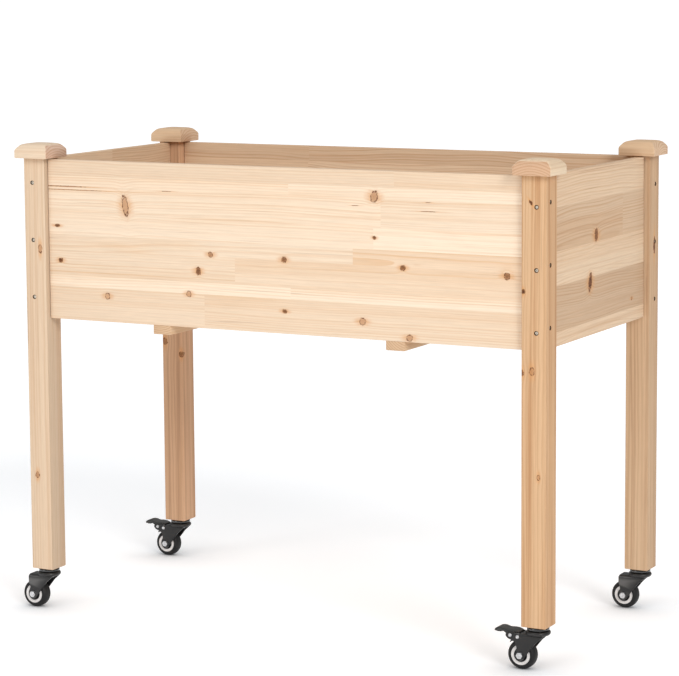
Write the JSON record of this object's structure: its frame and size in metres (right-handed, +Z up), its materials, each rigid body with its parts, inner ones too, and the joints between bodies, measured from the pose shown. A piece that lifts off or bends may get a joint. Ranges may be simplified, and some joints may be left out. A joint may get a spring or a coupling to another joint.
{
  "type": "raised planter",
  "caption": "Rectangular wooden planter box raised on square legs with sloped post caps, rolling on swivel casters, one diagonal pair with foot brakes.",
  "frame": {"origin": "on the floor, at the middle of the area that the whole object covers, casters and brake levers included; the wooden box is centred 20.5 mm towards +X from it, because the casters trail towards -X", "axes": "+X along the planter's length to the right, +Y from the front to the rear, +Z up"},
  "size_m": [1.081, 0.532, 0.8525],
  "materials": {
    "post_wood": "planed natural fir, satin",
    "cap_wood": "planed natural fir, satin",
    "panel_wood": "edge-glued natural fir strips with knots, satin",
    "joist_wood": "sawn natural fir",
    "floor_wood": "sawn natural fir",
    "dowel_wood": "turned hardwood",
    "screw_steel": "bronzed steel",
    "insert_zinc": "zinc plated",
    "ball_steel": "polished steel",
    "black_steel": "gloss black coating",
    "lever_steel": "gloss black coating, worn on the pedal",
    "zinc_steel": "bright zinc plated",
    "tyre_rubber": "satin polyurethane tread",
    "core_plastic": "moulded light grey plastic",
    "cover_plastic": "moulded black plastic"
  },
  "bodies": {
    "frame": {"post_front_left": "post_wood", "post_front_right": "post_wood", "post_rear_right": "post_wood", "post_rear_left": "post_wood", "cap_front_left": "cap_wood", "cap_front_right": "cap_wood", "cap_rear_right": "cap_wood", "cap_rear_left": "cap_wood", "panel_front": "panel_wood", "panel_right": "panel_wood", "panel_rear": "panel_wood", "panel_left": "panel_wood", "joist_left": "joist_wood", "joist_right": "joist_wood", "end_cleat_left": "joist_wood", "end_cleat_right": "joist_wood", "floor_board_1": "floor_wood", "floor_board_2": "floor_wood", "floor_board_3": "floor_wood", "floor_board_4": "floor_wood", "floor_board_5": "floor_wood", "panel_screws": "screw_steel", "joist_screws": "screw_steel", "cleat_screws": "screw_steel", "floor_screws": "screw_steel", "cap_dowels": "dowel_wood", "leg_inserts": "insert_zinc", "swivel_balls": "ball_steel", "caster_stem_front_left": "black_steel", "caster_stem_front_right": "black_steel", "caster_stem_rear_right": "black_steel", "caster_stem_rear_left": "black_steel"},
    "swivel_front_left": {"fork_front_left": "black_steel", "axle_bolt_front_left": "zinc_steel"},
    "wheel_front_left": {"tyre_front_left": "tyre_rubber", "wheel_core_front_left": "core_plastic", "hub_covers_front_left": "cover_plastic"},
    "swivel_front_right": {"fork_front_right": "black_steel", "axle_bolt_front_right": "zinc_steel", "brake_shoe_front_right": "black_steel", "brake_rivets_front_right": "zinc_steel"},
    "wheel_front_right": {"tyre_front_right": "tyre_rubber", "wheel_core_front_right": "core_plastic", "hub_covers_front_right": "cover_plastic"},
    "swivel_rear_right": {"fork_rear_right": "black_steel", "axle_bolt_rear_right": "zinc_steel"},
    "wheel_rear_right": {"tyre_rear_right": "tyre_rubber", "wheel_core_rear_right": "core_plastic", "hub_covers_rear_right": "cover_plastic"},
    "swivel_rear_left": {"fork_rear_left": "black_steel", "axle_bolt_rear_left": "zinc_steel", "brake_shoe_rear_left": "black_steel", "brake_rivets_rear_left": "zinc_steel"},
    "wheel_rear_left": {"tyre_rear_left": "tyre_rubber", "wheel_core_rear_left": "core_plastic", "hub_covers_rear_left": "cover_plastic"},
    "lever_front_right": {"brake_lever_front_right": "lever_steel"},
    "lever_rear_left": {"brake_lever_rear_left": "lever_steel"}
  },
  "joints": [
    {"name": "swivel_turn_front_left", "type": "hinge", "parent": "frame", "child": "swivel_front_left", "pos_m": [-0.4655, -0.232, 0.0655], "axis": [0, 0, 1], "continuous": true},
    {"name": "wheel_spin_front_left", "type": "hinge", "parent": "swivel_front_left", "child": "wheel_front_left", "pos_m": [-0.493, -0.232, 0.025], "axis": [0, 1, 0], "continuous": true},
    {"name": "swivel_turn_front_right", "type": "hinge", "parent": "frame", "child": "swivel_front_right", "pos_m": [0.5065, -0.232, 0.0655], "axis": [0, 0, 1], "continuous": true},
    {"name": "wheel_spin_front_right", "type": "hinge", "parent": "swivel_front_right", "child": "wheel_front_right", "pos_m": [0.479, -0.232, 0.025], "axis": [0, 1, 0], "continuous": true},
    {"name": "swivel_turn_rear_right", "type": "hinge", "parent": "frame", "child": "swivel_rear_right", "pos_m": [0.5065, 0.232, 0.0655], "axis": [0, 0, 1], "continuous": true},
    {"name": "wheel_spin_rear_right", "type": "hinge", "parent": "swivel_rear_right", "child": "wheel_rear_right", "pos_m": [0.479, 0.232, 0.025], "axis": [0, 1, 0], "continuous": true},
    {"name": "swivel_turn_rear_left", "type": "hinge", "parent": "frame", "child": "swivel_rear_left", "pos_m": [-0.4655, 0.232, 0.0655], "axis": [0, 0, 1], "continuous": true},
    {"name": "wheel_spin_rear_left", "type": "hinge", "parent": "swivel_rear_left", "child": "wheel_rear_left", "pos_m": [-0.493, 0.232, 0.025], "axis": [0, 1, 0], "continuous": true},
    {"name": "brake_press_front_right", "type": "hinge", "parent": "swivel_front_right", "child": "lever_front_right", "pos_m": [0.4612, -0.232, 0.0578], "axis": [0, 1, 0], "range_deg": [-16, 0]},
    {"name": "brake_press_rear_left", "type": "hinge", "parent": "swivel_rear_left", "child": "lever_rear_left", "pos_m": [-0.5108, 0.232, 0.0578], "axis": [0, 1, 0], "range_deg": [-16, 0]}
  ]
}
